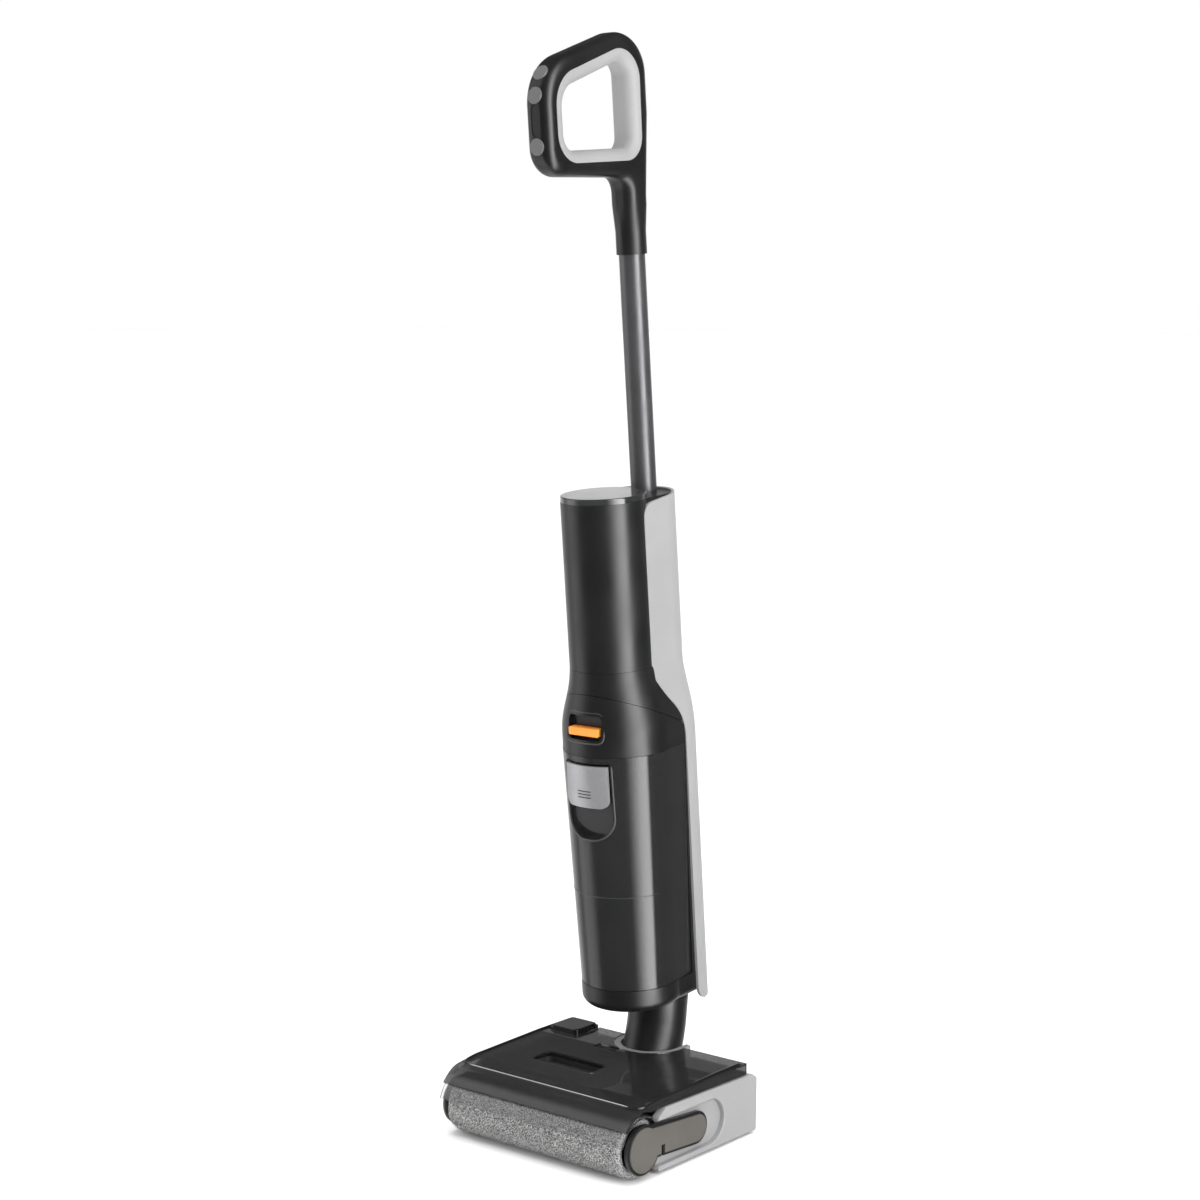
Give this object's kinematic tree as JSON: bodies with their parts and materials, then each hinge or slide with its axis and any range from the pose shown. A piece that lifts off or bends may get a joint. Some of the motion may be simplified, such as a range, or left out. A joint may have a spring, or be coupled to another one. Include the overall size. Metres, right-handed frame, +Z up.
{
  "type": "wet dry floor scrubber",
  "caption": "Upright cordless floor washer with a driven plush roller in a low head, a reclining steering neck, lift-out water tanks, a filter drawer and a ring handle.",
  "frame": {"origin": "middle of the glide pad's underside on the floor, below the middle of the floor head", "axes": "+Z up, -Y forward through the roller, +X towards the removable end cap of the roller"},
  "size_m": [0.2445, 0.2457, 1.1092],
  "materials": {
    "shell_black": "satin, fine grain",
    "handle_black": "soft satin",
    "light_grey": "fine matt grain",
    "pole_grey": "satin",
    "smoked_clear": "clear smoked, glossy",
    "clean_clear": "clear, glossy",
    "orange_tab": "satin",
    "latch_silver": "metallic",
    "button_grey": "satin",
    "plush_grey": "short pile",
    "cap_warm_grey": "satin",
    "display_gloss": "glossy",
    "status_glow": "frosted",
    "rubber_black": "matt",
    "rubber_smoke": "matt",
    "tyre_black": "matt",
    "inner_black": "matt",
    "steel": "brushed",
    "contact_brass": "plated",
    "motor_can": "brushed",
    "battery_wrap": "shrink wrap",
    "board_green": "circuit board",
    "filter_pleats": "pleated",
    "float_white": "matt",
    "core_plastic": "matt"
  },
  "bodies": {
    "head": {"head_chassis": "shell_black", "bottom_plate": "inner_black", "head_screws": "steel", "charge_contacts": "contact_brass", "inner_deck": "inner_black", "suction_duct": "inner_black", "neck_ring": "light_grey", "side_panel_right": "light_grey", "side_panel_left": "light_grey", "floor_squeegee": "rubber_black", "roller_scraper": "inner_black", "brush_motor": "motor_can", "drive_cover": "cap_warm_grey", "drive_belt": "rubber_black", "wheel_axles": "steel"},
    "cover": {"top_cover": "smoked_clear", "roller_shroud": "smoked_clear", "status_light": "status_glow"},
    "cover_release": {"cover_release_button": "button_grey"},
    "end_cap": {"roller_cap": "shell_black", "cap_face": "cap_warm_grey", "cap_shaft": "steel", "roller_bearing": "steel"},
    "roller": {"roller_core": "core_plastic", "roller_plush": "plush_grey"},
    "pulley": {"drive_pulley": "core_plastic"},
    "motor_rotor": {"motor_shaft": "steel"},
    "wheel_left": {"wheel_hub_left": "shell_black", "wheel_tyre_left": "tyre_black"},
    "wheel_right": {"wheel_hub_right": "shell_black", "wheel_tyre_right": "tyre_black"},
    "neck": {"neck_elbow": "shell_black", "pivot_pins": "steel"},
    "body": {"base_cradle": "shell_black", "spine_housing": "shell_black", "motor_housing": "shell_black", "upper_shell": "shell_black", "display_disc": "display_gloss", "battery_pack": "battery_wrap", "main_board": "board_green", "suction_motor": "motor_can", "water_pump": "inner_black", "pole": "pole_grey", "handle_shell": "handle_black", "handle_liner": "light_grey"},
    "impeller": {"suction_impeller": "core_plastic"},
    "filter": {"filter_housing": "shell_black", "filter_element": "filter_pleats"},
    "filter_catch": {"filter_latch": "orange_tab"},
    "tank": {"dirty_tank": "smoked_clear", "tank_lid": "inner_black", "inlet_duct": "inner_black"},
    "tank_catch": {"tank_latch": "latch_silver"},
    "float": {"tank_float": "float_white"},
    "clean_side": {"back_panel": "light_grey", "clean_tank": "clean_clear", "filler_cap": "rubber_black"},
    "power": {"power_button": "button_grey"},
    "mode": {"mode_button": "button_grey"},
    "clean": {"clean_button": "button_grey"}
  },
  "joints": [
    {"name": "cover_lift", "type": "slide", "parent": "head", "child": "cover", "axis": [0, 0, 1], "range_m": [0, 0.04]},
    {"name": "cover_release_press", "type": "slide", "parent": "head", "child": "cover_release", "axis": [0, 0, -1], "range_m": [0, 0.0025], "stiffness_N_per_m": 500, "springref_m": -0.002},
    {"name": "end_cap_pull", "type": "slide", "parent": "head", "child": "end_cap", "axis": [1, 0, 0], "range_m": [0, 0.245]},
    {"name": "roller_spin", "type": "hinge", "parent": "end_cap", "child": "roller", "pos_m": [0, -0.08, 0.031], "axis": [1, 0, 0], "continuous": true},
    {"name": "pulley_spin", "type": "hinge", "parent": "head", "child": "pulley", "pos_m": [-0.117, -0.08, 0.031], "axis": [1, 0, 0], "continuous": true},
    {"name": "motor_spin", "type": "hinge", "parent": "head", "child": "motor_rotor", "pos_m": [-0.117, 0.01, 0.031], "axis": [1, 0, 0], "continuous": true},
    {"name": "wheel_left_spin", "type": "hinge", "parent": "head", "child": "wheel_left", "pos_m": [-0.074, 0.084, 0.016], "axis": [1, 0, 0], "continuous": true},
    {"name": "wheel_right_spin", "type": "hinge", "parent": "head", "child": "wheel_right", "pos_m": [0.074, 0.084, 0.016], "axis": [1, 0, 0], "continuous": true},
    {"name": "neck_recline", "type": "hinge", "parent": "head", "child": "neck", "pos_m": [0, 0.079, 0.052], "axis": [-1, 0, 0], "range_deg": [0, 87]},
    {"name": "body_steer", "type": "hinge", "parent": "neck", "child": "body", "pos_m": [0, 0.097, 0.12], "axis": [0, 0.0698, 0.9976], "range_deg": [-45, 45]},
    {"name": "impeller_spin", "type": "hinge", "parent": "body", "child": "impeller", "pos_m": [0, 0.01885, 0.4982], "axis": [0, -0.0854, 0.9963], "continuous": true},
    {"name": "filter_pull", "type": "slide", "parent": "body", "child": "filter", "axis": [0, -0.9963, -0.0854], "range_m": [0, 0.09]},
    {"name": "filter_catch_press", "type": "slide", "parent": "filter", "child": "filter_catch", "axis": [0, 0.0854, -0.9963], "range_m": [0, 0.003], "stiffness_N_per_m": 400, "springref_m": -0.001},
    {"name": "tank_pull", "type": "slide", "parent": "body", "child": "tank", "axis": [0, -0.9963, -0.0854], "range_m": [0, 0.12]},
    {"name": "tank_catch_press", "type": "slide", "parent": "tank", "child": "tank_catch", "axis": [0, 0.9963, 0.0854], "range_m": [0, 0.0025], "stiffness_N_per_m": 600, "springref_m": -0.001},
    {"name": "float_rise", "type": "slide", "parent": "tank", "child": "float", "axis": [0, -0.0854, 0.9963], "range_m": [0, 0.06]},
    {"name": "clean_tank_pull", "type": "slide", "parent": "body", "child": "clean_side", "axis": [0, 0.9963, 0.0854], "range_m": [0, 0.06]},
    {"name": "power_press", "type": "slide", "parent": "body", "child": "power", "axis": [0, 0.8281, -0.5606], "range_m": [0, 0.0012], "stiffness_N_per_m": 600, "springref_m": -0.001},
    {"name": "mode_press", "type": "slide", "parent": "body", "child": "mode", "axis": [0, 0.9923, -0.1236], "range_m": [0, 0.0012], "stiffness_N_per_m": 600, "springref_m": -0.001},
    {"name": "clean_press", "type": "slide", "parent": "body", "child": "clean", "axis": [0, 0.9963, 0.0854], "range_m": [0, 0.0012], "stiffness_N_per_m": 600, "springref_m": -0.001}
  ],
  "couplings": [
    {"joint": "pulley_spin", "follows": "roller_spin", "ratio": 1},
    {"joint": "motor_spin", "follows": "roller_spin", "ratio": 2.8}
  ]
}
